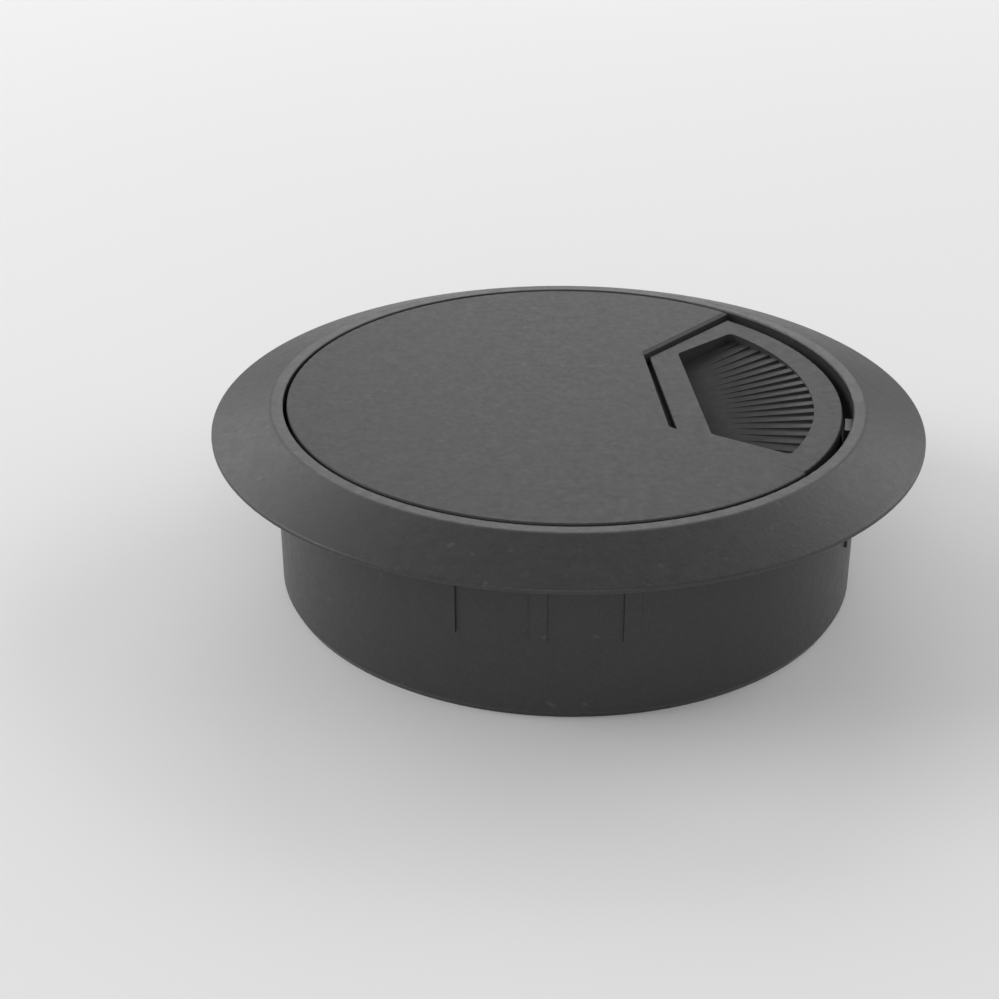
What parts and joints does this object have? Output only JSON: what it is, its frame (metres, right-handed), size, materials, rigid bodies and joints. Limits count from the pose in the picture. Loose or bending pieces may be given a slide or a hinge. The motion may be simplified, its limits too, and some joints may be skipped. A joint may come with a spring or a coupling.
{
  "type": "desk grommet",
  "caption": "Round flanged cable grommet for a desk hole, with a lift-out cap and a fan-shaped gate that turns under it to open a cable window.",
  "frame": {"origin": "centre of the sleeve's foot, so the grommet stands on Z = 0", "axes": "+Z along the grommet's axis, up out of the desk; the cable window points to about +7 degrees from +X"},
  "size_m": [0.06, 0.06, 0.0164],
  "materials": {
    "liner_plastic": "fine-textured matte",
    "cap_plastic": "fine-textured matte",
    "gate_plastic": "fine-textured matte"
  },
  "bodies": {
    "liner": {"liner": "liner_plastic"},
    "cap": {"cap": "cap_plastic"},
    "gate": {"gate": "gate_plastic"}
  },
  "joints": [
    {"name": "cap_lift", "type": "slide", "parent": "liner", "child": "cap", "axis": [0, 0, 1], "range_m": [0, 0.025]},
    {"name": "gate_turn", "type": "hinge", "parent": "cap", "child": "gate", "pos_m": [0, 0, 0.0145], "axis": [0, 0, 1], "range_deg": [-90, 0]}
  ]
}
